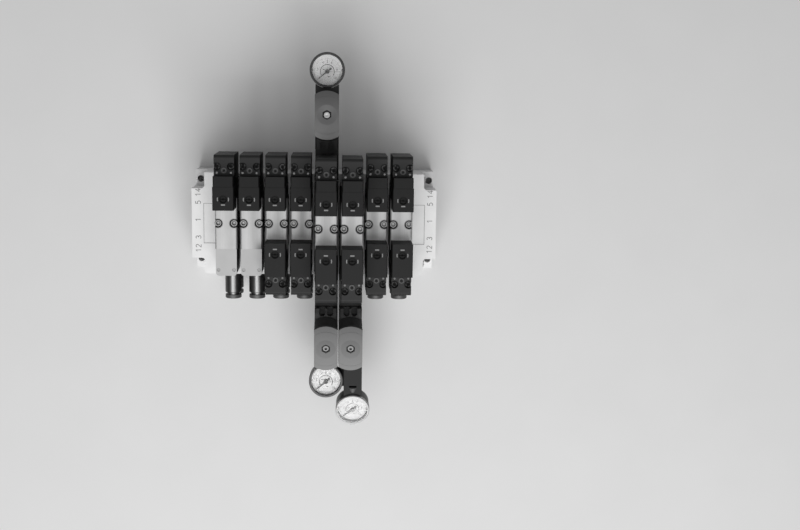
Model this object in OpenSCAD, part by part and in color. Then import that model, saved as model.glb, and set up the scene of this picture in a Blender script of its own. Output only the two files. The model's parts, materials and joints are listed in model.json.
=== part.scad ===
// A bank of eight slim directional control valves on a manifold with two end plates.
// Valves 1 and 2 have one solenoid and a return spring, valves 3 to 8 have two solenoids.
// Valves 5 and 6 stand on sandwich plates that carry pressure regulators and gauges.
// The origin is the centre of the manifold's underside. X runs along the row of valves,
// Y runs towards the 14 side of the valves, and Z points up out of the manifold.

/* [Manifold] */
// Distance between neighbouring valves
pitch = 19; // [18.5:0.5:24]
// Depth of the manifold from its port face to its back
manifold_d = 80; // [78:1:100]
// Height of the manifold
manifold_h = 55; // [54:1:70]
// Thickness of each seal between two manifold blocks
joint_seal_t = 0.6; // [0.4:0.1:1.2]
// Radius of the supply and exhaust galleries
gallery_r = 5.5; // [4:0.5:5.5]
// Height of the galleries' axes above the underside
gallery_z = 12.5; // [10:0.5:12.5]
// Radius of the two pilot galleries
pilot_gallery_r = 1.5; // [1.25:0.25:1.75]
// Height of the pilot galleries' axes
pilot_gallery_z = 34; // [33:0.5:35]
// Height of the lower row of output ports
port_2_z = 23.3; // [22.5:0.1:24]
// Distance between the two rows of output ports
port_rows = 21; // [20.5:0.5:21.5]
// Sideways offset of the output ports from each valve's middle
port_x = 1.5; // [0:0.5:3]
// Radius of the drilling behind each output port
port_drill_r = 3.6; // [2.5:0.1:3.8]
// Radius of each passage up to a valve
passage_r = 1.9; // [1.2:0.1:2]
// Radius of the two tie rods
tie_rod_r = 1.75; // [1.5:0.25:1.75]
// Distance of the tie rods from the manifold's middle plane
tie_rod_y = 33.5; // [32:0.5:35]

/* [End plates] */
// Thickness of an end plate
end_plate_t = 20; // [18:0.5:30]
// How far the end plate's top lies below the manifold's
end_plate_drop = 1; // [0:0.5:3]
// Depth of the corner pockets, measured in from the outer face
pocket_d = 10; // [9:0.5:12]
// Width of the corner pockets along the manifold's depth
pocket_w = 12.5; // [12:0.5:14]
// Height of the mounting tabs in the pockets
tab_h = 22; // [15:1:24]
// Radius of the mounting holes
mount_r = 2.75; // [2:0.25:3]
// Distance of the mounting holes in from the outer face
mount_in = 3.8; // [3.6:0.1:5]
// Distance of the mounting holes from the manifold's middle plane
mount_y = 32.5; // [32:0.5:34]
// Radius of the main port threads
main_thread_r = 5.9; // [5.7:0.1:6.6]
// Depth of the main port threads
main_thread_l = 12; // [9:1:14]
// Radius of the pilot port threads
pilot_thread_r = 2.15; // [2.1:0.05:2.6]
// Depth of the pilot port threads
pilot_thread_l = 7; // [5:1:10]

/* [Valve] */
// Distance of the valves' middle from the manifold's middle plane
valve_y = 4.2; // [3.8:0.1:4.6]
// Width of the metal valve body
body_w = 16.5; // [16.5:0.1:17.5]
// Length of the metal valve body
body_l = 39.2; // [39:0.5:44]
// Height of the metal valve body
body_h = 32.8; // [30:0.5:38]
// Bevel along the long edges of the metal valve body
body_bevel = 0.9; // [0.3:0.1:1.5]
// Thickness of the seal under each valve and plate
seal_t = 0.8; // [0.5:0.1:1.5]
// Radius of the spool's bore
spool_bore_r = 3.6; // [3:0.1:3.9]
// Radial clearance of the spool
spool_gap = 0.05; // [0.03:0.01:0.1]
// Height of the spool's axis above the valve's foot
spool_z = 16.4; // [14:0.2:18]
// Travel of the spool
spool_travel = 3.6; // [2:0.1:3.6]
// Radius of the undercuts around the spool's bore
undercut_r = 5.2; // [4.6:0.1:5.6]
// Width of the undercuts
undercut_w = 3.6; // [2.5:0.1:3.8]

/* [Heads] */
// Width of the pilot blocks and the return caps
pilot_w = 15.8; // [15:0.1:16.4]
// Width of the coils
coil_w = 15; // [14:0.1:16]
// Height of the heads above the top of the valve body
head_rise = 22.4; // [20:0.2:26]
// Height of the connector step above the top of the valve body
connector_rise = 13.4; // [10:0.2:16]
// How far the heads reach inwards over the valve body
overhang = 7.5; // [6:0.1:8]
// Length of the 14 side's pilot block beyond the valve body
pilot_l_14 = 9.9; // [8:0.1:12]
// Length of the 12 side's pilot block beyond the valve body
pilot_l_12 = 17.7; // [16:0.1:18]
// Distance of the step in the head beyond the valve body
step_at = 17.7; // [17.7:0.1:18.5]
// Length of a head beyond the valve body
head_l = 33.1; // [32:0.1:38]
// Height of the heads' underside above the valve's foot
head_foot = 3.2; // [2:0.2:5]
// Radius of the heads' rounded edges
head_round = 2.4; // [1:0.1:3]
// Bevel along the heads' top edges
head_bevel = 0.6; // [0.3:0.1:1]
// Length of a return cap
cap_l = 20.6; // [18:0.1:24]

/* [Manual overrides] */
// Distance of each override beyond the valve body's end
override_at = 0.9; // [0.5:0.1:2]
// Radius of an override's push rod
override_r = 2; // [1.5:0.1:2.2]
// Radial clearance of a push rod
override_gap = 0.15; // [0.1:0.05:0.2]
// Radius of the funnel at the top of an override's hole
funnel_r = 3; // [2.8:0.1:3.4]
// Depth of the funnel
funnel_h = 1.3; // [1:0.1:2]
// Length of a push rod
override_l = 8; // [6:0.5:10]
// Travel of a push rod
override_travel = 1.2; // [0.8:0.1:1.6]

/* [Connector] */
// Distance of the outer contacts from the valve's middle
contact_x = 5.2; // [4.8:0.1:5.4]
// Distance of the contact pins beyond the step
contact_in = 2.1; // [1.8:0.1:2.6]
// Radius of the contact pins
contact_r = 0.75; // [0.5:0.05:1]
// Distance of the centre stud beyond the step
stud_in = 3.8; // [3.4:0.1:4]
// Radius of the centre stud
stud_r = 2.1; // [1.6:0.1:2.2]
// Distance of the coil screws beyond the step
coil_screw_in = 6.8; // [6.6:0.1:8]
// Radius of the coil screws' recesses
coil_recess_r = 2.8; // [2.6:0.1:3]
// Radius of the coil screws' heads
coil_screw_r = 2.2; // [1.8:0.1:2.4]

/* [Fittings] */
// Radius of a push-in fitting
fitting_r = 6.5; // [6:0.1:8]
// Length of a push-in fitting outside the manifold
fitting_l = 21; // [19:0.5:26]
// Radius of the socket for the tube
tube_r = 4.05; // [3.05:0.05:4.1]
// Depth of the tube socket
tube_l = 16; // [12:0.5:17]
// Length of a fitting's thread in the manifold
fitting_thread_l = 7; // [5:0.5:8]
// Radius of a fitting's thread
fitting_thread_r = 4.85; // [4.4:0.05:5]

/* [Regulators] */
// Height of the sandwich plates
plate_h = 29.9; // [28:0.1:34]
// Width of the sandwich plates and the regulators
plate_w = 18; // [17:0.1:18.2]
// Reach of the double sandwich plate towards the 14 side
plate_end_14 = 36.3; // [35.5:0.1:42]
// Reach of the single sandwich plate towards the 14 side
plate_end_back = 33.4; // [30:0.1:36]
// Length of a regulator beyond its plate
regulator_l = 70.2; // [70:0.1:74]
// Distance of the low step beside the plate, measured from the plate's end
wall_at = 23.9; // [23:0.1:26]
// Height of the low step
step_h = 9; // [8.5:0.1:10]
// Height of the deck under the bonnet
deck_h = 20; // [18:0.5:22]
// Height of the outer end of a regulator above its plate's foot
end_block_h = 14.2; // [12:0.1:16]
// Distance of a cover's middle in from the regulator's end
cover_in = 19.3; // [19:0.1:20]
// Height of the top of a cover above the plate's foot
cover_z = 44.2; // [43:0.1:48]
// Tilt of the covers, outwards
cover_tilt = 12; // [0:1:16]
// Half of a cover's length
cover_half = 18.4; // [18:0.1:19]
// Radius of a cover's rounded ends
cover_end_r = 15; // [14:0.1:16]
// Thickness of a cover in its middle
cover_t = 4; // [3.6:0.1:5]
// Radius of a cover's domed top
dome_r = 110; // [90:5:200]
// Radius of the bonnet under a cover
bonnet_r = 15.3; // [13:0.1:16]
// Radius at which the dish around an adjusting screw would meet the top of the dome
dish_r = 8.6; // [8:0.1:9]
// Depth of the dish
dish_h = 1.4; // [1:0.1:1.5]
// Radius of an adjusting screw's head
adjuster_r = 2.2; // [2:0.1:2.4]

/* [Gauges] */
// Radius of a gauge
gauge_r = 13.5; // [12:0.1:13.7]
// Thickness of a gauge
gauge_t = 13; // [12:0.1:14]
// Width of a gauge's bezel
bezel_w = 1.5; // [1:0.1:2.5]
// Height of a gauge's face above its plate's foot
gauge_z = 13.2; // [12:0.1:14]
// Radius of a gauge's stem
stem_r = 3.4; // [2.5:0.1:4]
// Length of a gauge's stem
stem_l = 5; // [3:0.5:6]
// Distance of a needle's pivot from the middle of its gauge
pivot_off = 1.2; // [0:0.1:1.5]
// Length of the adapter on the last regulator
adapter_l = 22.6; // [22:0.1:30]
// Sideways offset of the gauge on the adapter
gauge_shift = 2.4; // [2:0.1:2.6]
// Tilt of the gauge on the adapter, outwards
gauge_tilt = 18; // [0:1:20]
// Drop of the tilted gauge's face below the others
gauge_drop = 1.3; // [0:0.1:1.5]

/* [Hidden] */
$fn = 48;
stations = 8;
singles = 2;
raised = [5, 6];
slack = 1;

// Places of the stations, the galleries and the valves' ports
function x_of(i) = (i - (stations + 1) / 2) * pitch;
main_galleries = [16, 2, -12];
pilot_galleries = [23.5, -20];
exhaust_ports = [16, -12];
port_4_y = 9.5;
port_1_y = -0.6;
port_2_y = -6.4;
port_4_z = port_2_z + port_rows;
passage_x = -5;
valve_ports = [exhaust_ports[0], port_4_y, port_1_y, port_2_y, exhaust_ports[1]];

// The manifold's ends and the end plates' faces
blocks = stations / 2;
row_half = blocks * pitch;
plate_in = row_half + joint_seal_t / 2;
plate_out = plate_in + end_plate_t;
end_top = manifold_h - end_plate_drop;
seal_inset = 1.5;
label_w = 9.7;
label_l = 31.4;
label_h = 0.3;
main_plug_l = 8;
main_key_r = 3.4;
pilot_plug_l = 4;
pilot_key_r = 1.2;
fitting_bore_r = 2.9;

// Feet of the valves and the plates
base_z = manifold_h + seal_t;
function is_raised(i) = len([for (r = raised) if (r == i) r]) > 0;
function foot_z(i) = is_raised(i) ? base_z + plate_h + seal_t : base_z;
function has_12(i) = i > singles;
head_h = body_h + head_rise;
connector_h = body_h + connector_rise;

// Valve screws, held captive in pockets at the sides of the body
screw_x = 6;
screw_r = 1.5;
screw_hole_r = 1.7;
screw_head_r = 2.6;
screw_head_h = 3;
screw_pocket_r = 3.2;
screw_pocket_h = 4.2;
screw_seat = body_h - screw_pocket_h;
screw_grip = 8;

// Spool and return spring
spool_l = body_l - spool_travel - 0.6;
spool_end = spool_l / 2 + spool_travel / 2;
spring_seat = 12;
spring_r = 2.9;
spring_wire = 0.45;
spring_turns = 7;
spring_chamber_r = 3.8;

// Coils, armatures and connector pieces
armature_r = 3;
armature_gap = 0.2;
armature_l = 9;
contact_l = 4;
contact_out = 0.6;
coil_recess_h = 3.2;
coil_screw_h = 1.6;
coil_screw_shank = 1;
coil_screw_l = 9;
cap_screw_x = 5.9;
cap_screw_at = 16;
cap_screw_r = 1.3;
cap_screw_h = 5;

// Regulators: each entry is the station and the side, 1 for the 14 side and -1 for the 12 side
regulators = [[5, 1], [5, -1], [6, -1]];
plate_end_12 = manifold_d / 2;
feed_z = 5.2;
reg_foot = 1.2;
reg_bevel = 1.2;
cover_at = regulator_l - cover_in;
deck_end = 6.5;
block_end = 3.8;
chamber_r = 6.8;
chamber_l = 18;
bonnet_l = chamber_l + 8;
chamber_at = cover_at - (cover_t + chamber_l) * sin(cover_tilt);
chamber_z = cover_z - (cover_t + chamber_l) * cos(cover_tilt);
notch_x = 3.1;
notch_in = 3.9;
notch_r = 2.3;
notch_h = 8;
adjuster_l = 16;
adjuster_head_h = 1.5;
adjuster_shank_r = 1.6;
hex_pocket_r = 3.2;
hex_pocket_h = 1.6;
dish_floor_r = 3;
groove_r = 14;
groove_w = 0.5;
groove_h = 0.2;

// Gauges: the height of the stem below the face, and the places of the three gauges
stem_below = gauge_t / 2;
lens_t = 1;
lens_down = 0.4;
dial_t = 0.6;
dial_down = 3.4;
dial_r = gauge_r - bezel_w - 0.4;
needle_down = 2.1;
needle_t = 0.35;
needle_tip = 9.8;
needle_tail = 3.1;
needle_w = 1.1;
needle_rest = 219;
tail_r = 0.9;
hub_r = 1.7;
hub_h = 0.8;
spindle_r = 0.4;
spindle_l = 3.4;
side_gap = 0.3;
seat_r = gauge_r + side_gap;
gauge_at = regulator_l + seat_r;
ear_l = seat_r - sqrt(seat_r * seat_r - plate_w * plate_w / 4) - 0.4;
tab_w = 4;
tab_l = 2.1;
tab_rise = 0.5;
adapter_end = regulator_l + side_gap + adapter_l;
tilted_mid = [adapter_end + seat_r * cos(gauge_tilt), gauge_z - gauge_drop
    - stem_below * cos(gauge_tilt)];
tilted_face = [tilted_mid[0] + stem_below * sin(gauge_tilt), gauge_z - gauge_drop];
function pivot_y(k) = -regulators[k][1] * pivot_off;

// Adapter of the last gauge, kept clear of the next gauge and of the tube below it
adapter_gap = 0.7;
adapter_w = 2 * (pitch + gauge_shift - gauge_r - adapter_gap);
adapter_foot = port_4_z + tube_r + 0.65 - base_z;
adapter_top = 12.5;
adapter_lip = 4.4;
adapter_ear = 1.8;
shelf_reach = 4;

// Profiles and placements used by several sub-parts
module rounded_rect(x0, y0, x1, y1, r) {
    translate([x0 + r, y0]) square([x1 - x0 - 2 * r, y1 - y0]);
    translate([x0, y0 + r]) square([x1 - x0, y1 - y0 - 2 * r]);
    for (x = [x0 + r, x1 - r], y = [y0 + r, y1 - r]) translate([x, y]) circle(r);
}

module bevelled(w, h, b) {
    polygon([[-w / 2, 0], [w / 2, 0], [w / 2, h - b], [w / 2 - b, h], [b - w / 2, h], [-w / 2, h - b]]);
}

module along_y(y0, y1) {
    translate([0, y1, 0]) rotate([90, 0, 0]) linear_extrude(y1 - y0) children();
}

module across(w) {
    rotate([90, 0, 90]) translate([0, 0, -w / 2]) linear_extrude(w) children();
}

module rod_x(r, x0, x1, y, z) {
    translate([x0, y, z]) rotate([0, 90, 0]) cylinder(r = r, h = x1 - x0);
}

module rod_y(r, x, y0, y1, z) {
    translate([x, y0, z]) rotate([-90, 0, 0]) cylinder(r = r, h = y1 - y0);
}

module rod_z(r, x, y, z0, z1) {
    translate([x, y, z0]) cylinder(r = r, h = z1 - z0);
}

module at_valve(i) {
    translate([x_of(i), valve_y, foot_z(i)]) children();
}

module side_14() {
    translate([0, body_l / 2, 0]) children();
}

module side_12() {
    mirror([0, 1, 0]) translate([0, body_l / 2, 0]) children();
}

module at_regulator(k) {
    side = regulators[k][1];
    translate([x_of(regulators[k][0]), side > 0 ? plate_end_14 : -plate_end_12, base_z])
        mirror([0, side > 0 ? 0 : 1, 0]) children();
}

module at_cover(k) {
    at_regulator(k) translate([0, cover_at, cover_z]) rotate([-cover_tilt, 0, 0]) children();
}

module at_gauge(k) {
    at_regulator(k)
        if (k < 2) translate([0, gauge_at, gauge_z]) children();
        else translate([gauge_shift, tilted_face[0], tilted_face[1]]) rotate([-gauge_tilt, 0, 0])
            children();
}

// Manifold
module port_passage(x, z, y) {
    rod_y(fitting_thread_r + 0.05, x + port_x, -manifold_d / 2 - slack,
        -manifold_d / 2 + fitting_thread_l + slack, z);
    rod_y(port_drill_r, x + port_x, -manifold_d / 2, y + passage_r, z);
    translate([x + passage_x - passage_r, y - passage_r, z - passage_r])
        cube([port_x - passage_x + passage_r, 2 * passage_r, 2 * passage_r]);
    rod_z(passage_r, x + passage_x, y, z, manifold_h + slack);
}

module manifold_block(b) {
    x0 = -row_half + b * 2 * pitch + joint_seal_t / 2;
    x1 = x0 + 2 * pitch - joint_seal_t;
    difference() {
        translate([x0, -manifold_d / 2, 0]) cube([x1 - x0, manifold_d, manifold_h]);
        for (y = main_galleries) rod_x(gallery_r, x0 - slack, x1 + slack, y, gallery_z);
        for (y = pilot_galleries) rod_x(pilot_gallery_r, x0 - slack, x1 + slack, y, pilot_gallery_z);
        for (y = [-tie_rod_y, tie_rod_y])
            rod_x(tie_rod_r + 0.2, x0 - slack, x1 + slack, y, pilot_gallery_z);
        for (i = [2 * b + 1, 2 * b + 2]) {
            port_passage(x_of(i), port_4_z, port_4_y);
            port_passage(x_of(i), port_2_z, port_2_y);
            for (y = [exhaust_ports[0], port_1_y, exhaust_ports[1]])
                rod_z(passage_r, x_of(i) + passage_x, y, gallery_z, manifold_h + slack);
            for (s = [-1, 1])
                rod_z(screw_r + 0.05, x_of(i) + s * screw_x, valve_y,
                    manifold_h - screw_grip - slack, manifold_h + slack);
        }
    }
}

module manifold_blocks() {
    color("gainsboro") for (b = [0:blocks - 1]) manifold_block(b);
}

// Seals between the blocks, under the valves and under the sandwich plates
module joint_seal(b) {
    x0 = -row_half + b * 2 * pitch - joint_seal_t / 2;
    difference() {
        translate([x0, seal_inset - manifold_d / 2, seal_inset])
            cube([joint_seal_t, manifold_d - 2 * seal_inset, end_top - 2 * seal_inset]);
        for (y = main_galleries) rod_x(gallery_r, x0 - slack, x0 + 2 * slack, y, gallery_z);
        for (y = pilot_galleries)
            rod_x(pilot_gallery_r, x0 - slack, x0 + 2 * slack, y, pilot_gallery_z);
        for (y = [-tie_rod_y, tie_rod_y])
            rod_x(tie_rod_r + 0.2, x0 - slack, x0 + 2 * slack, y, pilot_gallery_z);
    }
}

module valve_holes(x, z, h) {
    for (y = valve_ports) rod_z(passage_r, x + passage_x, y, z - slack, z + h + slack);
    for (s = [-1, 1]) rod_z(screw_hole_r, x + s * screw_x, valve_y, z - slack, z + h + slack);
}

module foot_seal(i, z) {
    difference() {
        translate([x_of(i) - body_w / 2, valve_y - body_l / 2, z]) cube([body_w, body_l, seal_t]);
        valve_holes(x_of(i), z, seal_t);
    }
}

module seals() {
    color("dimgray") {
        for (b = [0:blocks]) joint_seal(b);
        for (i = [1:stations]) foot_seal(i, manifold_h);
        for (i = raised) foot_seal(i, base_z + plate_h);
    }
}

// End plates: one has open ports, the other is closed by plugs
module end_plate() {
    difference() {
        translate([plate_in, -manifold_d / 2, 0]) cube([end_plate_t, manifold_d, end_top]);
        for (s = [-1, 1]) {
            translate([0, 0, tab_h]) linear_extrude(end_top) mirror([0, s < 0 ? 1 : 0]) {
                rounded_rect(plate_out - pocket_d, manifold_d / 2 - pocket_w,
                    plate_out + pocket_d, manifold_d / 2 + pocket_w, 2.5);
            }
            rod_z(mount_r, plate_out - mount_in, s * mount_y, -slack, tab_h + slack);
            rod_x(tie_rod_r + 0.2, plate_in - slack, plate_out, s * tie_rod_y, pilot_gallery_z);
        }
        translate([plate_in + 1, -label_l / 2, end_top - label_h])
            cube([label_w, label_l, label_h + slack]);
        for (y = main_galleries) {
            rod_x(gallery_r, plate_in - slack, plate_out, y, gallery_z);
            rod_x(main_thread_r, plate_out - main_thread_l, plate_out + slack, y, gallery_z);
        }
        for (y = pilot_galleries) {
            rod_x(pilot_gallery_r, plate_in - slack, plate_out, y, pilot_gallery_z);
            rod_x(pilot_thread_r, plate_out - pilot_thread_l, plate_out + slack, y, pilot_gallery_z);
        }
    }
}

module end_plate_left() {
    color("gainsboro") mirror([1, 0, 0]) end_plate();
}

module end_plate_right() {
    color("gainsboro") end_plate();
}

// Tie rods: each has a socket head in one pocket and a nut in the other
module tie_rod(y) {
    head_r = 3.4;
    head_h = 2;
    pocket_x = plate_out - pocket_d;
    rod_x(tie_rod_r, -pocket_x, pocket_x + head_h + 0.6, y, pilot_gallery_z);
    difference() {
        rod_x(head_r, -pocket_x - head_h, -pocket_x, y, pilot_gallery_z);
        translate([-pocket_x - head_h - slack, y, pilot_gallery_z]) rotate([0, 90, 0])
            cylinder(r = 1.7, h = head_h - 0.6 + slack, $fn = 6);
    }
}

module tie_nut(y) {
    pocket_x = plate_out - pocket_d;
    difference() {
        translate([pocket_x, y, pilot_gallery_z]) rotate([0, 90, 0]) cylinder(r = 3.6, h = 2, $fn = 6);
        rod_x(tie_rod_r + 0.05, pocket_x - slack, pocket_x + 3, y, pilot_gallery_z);
    }
}

module tie_rods() {
    color("silver") for (y = [-tie_rod_y, tie_rod_y]) {
        tie_rod(y);
        tie_nut(y);
    }
}

// Push-in fittings on the port face
module push_in_fitting(x, z) {
    neck_r = fitting_r - 1.4;
    neck_at = fitting_l - 4.6;
    collar_r = fitting_r - 0.1;
    collar_at = fitting_l - 3;
    edge = 0.5;
    translate([x, -manifold_d / 2, z]) rotate([90, 0, 0]) difference() {
        union() {
            rotate_extrude() polygon([
                [0, 0], [fitting_r - edge, 0], [fitting_r, edge], [fitting_r, neck_at - edge],
                [fitting_r - edge, neck_at], [neck_r, neck_at], [neck_r, collar_at],
                [collar_r - edge / 2, collar_at], [collar_r, collar_at + edge / 2],
                [collar_r, fitting_l - edge], [collar_r - edge, fitting_l], [0, fitting_l]]);
            translate([0, 0, -fitting_thread_l]) cylinder(r = fitting_thread_r, h = fitting_thread_l + 1);
        }
        translate([0, 0, fitting_l - tube_l]) cylinder(r = tube_r, h = tube_l + slack);
        translate([0, 0, -fitting_thread_l - slack])
            cylinder(r = fitting_bore_r, h = fitting_l + fitting_thread_l);
    }
}

module push_in_fittings() {
    color("silver") for (i = [1:stations], z = [port_2_z, port_4_z])
        push_in_fitting(x_of(i) + port_x, z);
}

// Plugs that close the right end plate
module blanking_plug(r, l, y, z, key) {
    difference() {
        rod_x(r, plate_out - l, plate_out, y, z);
        translate([plate_out - l / 2, y, z]) rotate([0, 90, 0]) cylinder(r = key, h = l, $fn = 6);
    }
}

module blanking_plugs() {
    color("darkgray") {
        for (y = main_galleries)
            blanking_plug(main_thread_r - 0.05, main_plug_l, y, gallery_z, main_key_r);
        for (y = pilot_galleries)
            blanking_plug(pilot_thread_r - 0.05, pilot_plug_l, y, pilot_gallery_z, pilot_key_r);
    }
}

// Metal valve body with its spool bore, undercuts, passages and screw pockets
module valve_body(i) {
    color("silver") at_valve(i) difference() {
        along_y(-body_l / 2, body_l / 2) bevelled(body_w, body_h, body_bevel);
        rod_y(spool_bore_r, 0, -body_l / 2 - slack, body_l / 2 + slack, spool_z);
        for (y = valve_ports) {
            rod_y(undercut_r, 0, y - valve_y - undercut_w / 2, y - valve_y + undercut_w / 2, spool_z);
            rod_z(passage_r, passage_x, y - valve_y, -slack, spool_z);
        }
        for (s = [-1, 1]) {
            rod_z(screw_hole_r, s * screw_x, 0, -slack, body_h);
            rod_z(screw_pocket_r, s * screw_x, 0, screw_seat, body_h + slack);
        }
    }
}

// Spool with a land between each two ports and one at each end
module spool(i) {
    gaps = [for (k = [0:3]) (valve_ports[k] + valve_ports[k + 1]) / 2 - valve_y];
    land_l = 2.6;
    end_l = 3;
    shift = spool_travel / 2;
    color("silver") at_valve(i) {
        rod_y(spool_bore_r * 0.55, 0, shift - spool_l / 2, shift + spool_l / 2, spool_z);
        for (y = gaps) rod_y(spool_bore_r - spool_gap, 0, y + shift - land_l / 2,
            y + shift + land_l / 2, spool_z);
        for (s = [-1, 1]) {
            y = shift + s * (spool_l - end_l) / 2;
            rod_y(spool_bore_r - spool_gap, 0, y - end_l / 2, y + end_l / 2, spool_z);
        }
    }
}

// Pilot blocks, which carry the manual overrides
module head_shape(w, u0, u1, z0, z1, r) {
    intersection() {
        along_y(u0, u1) translate([0, z0]) bevelled(w, z1 - z0, head_bevel);
        translate([0, 0, z0]) linear_extrude(z1 - z0) rounded_rect(-w / 2, u0, w / 2, u1 + 2 * r, r);
    }
}

module pilot_block(l) {
    difference() {
        union() {
            head_shape(pilot_w, -overhang, l, body_h, head_h, head_round);
            along_y(0, l) translate([-pilot_w / 2, head_foot]) square([pilot_w, body_h + 1 - head_foot]);
        }
        rod_z(override_r + override_gap, 0, override_at, head_h - override_l - override_travel - 5,
            head_h + slack);
        translate([0, override_at, head_h - funnel_h])
            cylinder(r1 = override_r + override_gap, r2 = funnel_r, h = funnel_h + 0.01);
    }
}

module pilot_blocks() {
    color([0.14, 0.14, 0.15]) for (i = [1:stations]) {
        at_valve(i) side_14() pilot_block(pilot_l_14);
        if (has_12(i)) at_valve(i) side_12() pilot_block(pilot_l_12);
    }
}

module override_rod() {
    top = head_h - funnel_h - 0.1;
    color("dimgray") translate([0, override_at, top - override_l]) difference() {
        cylinder(r = override_r, h = override_l);
        translate([-override_r - slack, -0.35, override_l - 0.7])
            cube([2 * override_r + 2 * slack, 0.7, slack]);
    }
}

module override_14(i) {
    at_valve(i) side_14() override_rod();
}

module override_12(i) {
    at_valve(i) side_12() override_rod();
}

// Return caps and springs on the 12 side of the single-solenoid valves
module return_cap() {
    difference() {
        translate([0, 0, head_foot]) linear_extrude(body_h - head_foot) intersection() {
            rounded_rect(-pilot_w / 2, -cap_l, pilot_w / 2, cap_l, head_round);
            translate([-pilot_w, 0]) square([2 * pilot_w, 2 * cap_l]);
        }
        rod_y(spring_chamber_r, 0, -slack, spring_seat, spool_z);
        for (s = [-1, 1]) rod_z(cap_screw_r + 0.1, s * cap_screw_x, cap_screw_at,
            body_h - cap_screw_h, body_h + slack);
    }
}

module return_caps() {
    color("gainsboro") for (i = [1:singles]) at_valve(i) side_12() return_cap();
}

function coil_ring(t, r, wire, y, sides) = [for (k = [0:sides - 1])
    let (a = 360 * k / sides, out = r + wire * cos(a))
    [out * cos(t), y + wire * sin(a), out * sin(t)]];

module helix_y(r, wire, y0, y1, turns) {
    sides = 8;
    rings = turns * 14;
    points = [for (n = [0:rings]) each coil_ring(360 * turns * n / rings, r, wire,
        y0 + wire + (y1 - y0 - 2 * wire) * n / rings, sides)];
    walls = [for (n = [0:rings - 1], k = [0:sides - 1])
        [n * sides + k, n * sides + (k + 1) % sides, (n + 1) * sides + (k + 1) % sides,
            (n + 1) * sides + k]];
    first = [for (k = [0:sides - 1]) sides - 1 - k];
    last = [for (k = [0:sides - 1]) rings * sides + k];
    polyhedron(points, concat(walls, [first, last]), convexity = 10);
}

module return_spring(i) {
    seat = body_l / 2 - spool_end + spool_travel;
    color("silver") at_valve(i) side_12() translate([0, 0, spool_z])
        helix_y(spring_r, spring_wire, 0.15 - seat, spring_seat - 0.15, spring_turns);
}

// Coils with their armatures and connector pieces
module coil(u0) {
    difference() {
        union() {
            if (u0 < step_at) head_shape(coil_w, u0 - head_round * 2, step_at, body_h, head_h, head_round);
            across(coil_w) intersection() {
                rounded_rect(-head_l, -connector_h, head_l, connector_h, head_round);
                translate([u0, head_foot]) square([head_l, connector_h]);
            }
        }
        translate([-coil_w, u0 - 10, 0]) cube([2 * coil_w, 10, 2 * head_h]);
        rod_y(armature_r + armature_gap, 0, u0 - slack, u0 + armature_l + 0.4, spool_z);
        for (s = [-1, 1]) {
            rod_z(coil_recess_r, s * contact_x, step_at + coil_screw_in, connector_h - coil_recess_h,
                connector_h + slack);
            rod_z(coil_screw_shank + 0.1, s * contact_x, step_at + coil_screw_in,
                connector_h - coil_recess_h - coil_screw_l - 1, connector_h);
            rod_z(contact_r + 0.05, s * contact_x, step_at + contact_in, connector_h - contact_l,
                connector_h + slack);
        }
        rod_z(stud_r + 0.05, 0, step_at + stud_in, connector_h - contact_l, connector_h + slack);
    }
}

module solenoid_coils() {
    color([0.16, 0.16, 0.17]) for (i = [1:stations]) {
        at_valve(i) side_14() coil(pilot_l_14);
        if (has_12(i)) at_valve(i) side_12() coil(pilot_l_12);
    }
}

module armature(u0) {
    rod_y(armature_r, 0, u0 + 0.2, u0 + 0.2 + armature_l, spool_z);
}

module coil_armatures() {
    color("gray") for (i = [1:stations]) {
        at_valve(i) side_14() armature(pilot_l_14);
        if (has_12(i)) at_valve(i) side_12() armature(pilot_l_12);
    }
}

module contact_set() {
    for (s = [-1, 1]) rod_z(contact_r, s * contact_x, step_at + contact_in, connector_h - contact_l,
        connector_h + contact_out);
    difference() {
        rod_z(stud_r, 0, step_at + stud_in, connector_h - contact_l, connector_h + contact_out);
        rod_z(stud_r - 0.7, 0, step_at + stud_in, connector_h - 1, connector_h + slack);
    }
}

module contact_pins() {
    color("lightgray") for (i = [1:stations]) {
        at_valve(i) side_14() contact_set();
        if (has_12(i)) at_valve(i) side_12() contact_set();
    }
}

// Screws
module valve_screw(i, s) {
    foot = manifold_h - screw_grip - foot_z(i);
    translate([s * screw_x, 0, 0]) difference() {
        union() {
            rod_z(screw_r, 0, 0, foot, screw_seat + 0.5);
            rod_z(screw_head_r, 0, 0, screw_seat, screw_seat + screw_head_h);
        }
        translate([0, 0, screw_seat + 1.2]) cylinder(r = 1.45, h = screw_head_h, $fn = 6);
    }
}

module valve_screws() {
    color("silver") for (i = [1:stations], s = [-1, 1]) at_valve(i) valve_screw(i, s);
}

module coil_screw(s) {
    seat = connector_h - coil_recess_h;
    translate([s * contact_x, step_at + coil_screw_in, 0]) difference() {
        union() {
            rod_z(coil_screw_shank, 0, 0, seat - coil_screw_l, seat + 0.5);
            rod_z(coil_screw_r, 0, 0, seat, seat + coil_screw_h);
        }
        for (a = [0, 90]) rotate(a) translate([-1.3, -0.25, seat + coil_screw_h - 0.7])
            cube([2.6, 0.5, 1]);
    }
}

module pilot_screws() {
    color("darkgray") for (i = [1:stations], s = [-1, 1]) {
        at_valve(i) side_14() coil_screw(s);
        if (has_12(i)) at_valve(i) side_12() coil_screw(s);
        if (!has_12(i)) at_valve(i) side_12()
            rod_z(cap_screw_r, s * cap_screw_x, cap_screw_at, body_h - cap_screw_h, body_h - 0.4);
    }
}

// Sandwich plates with a feed to each regulator
module feed(x, y0, y1) {
    rod_y(passage_r, x + port_x, y0, y1, base_z + feed_z);
}

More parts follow.
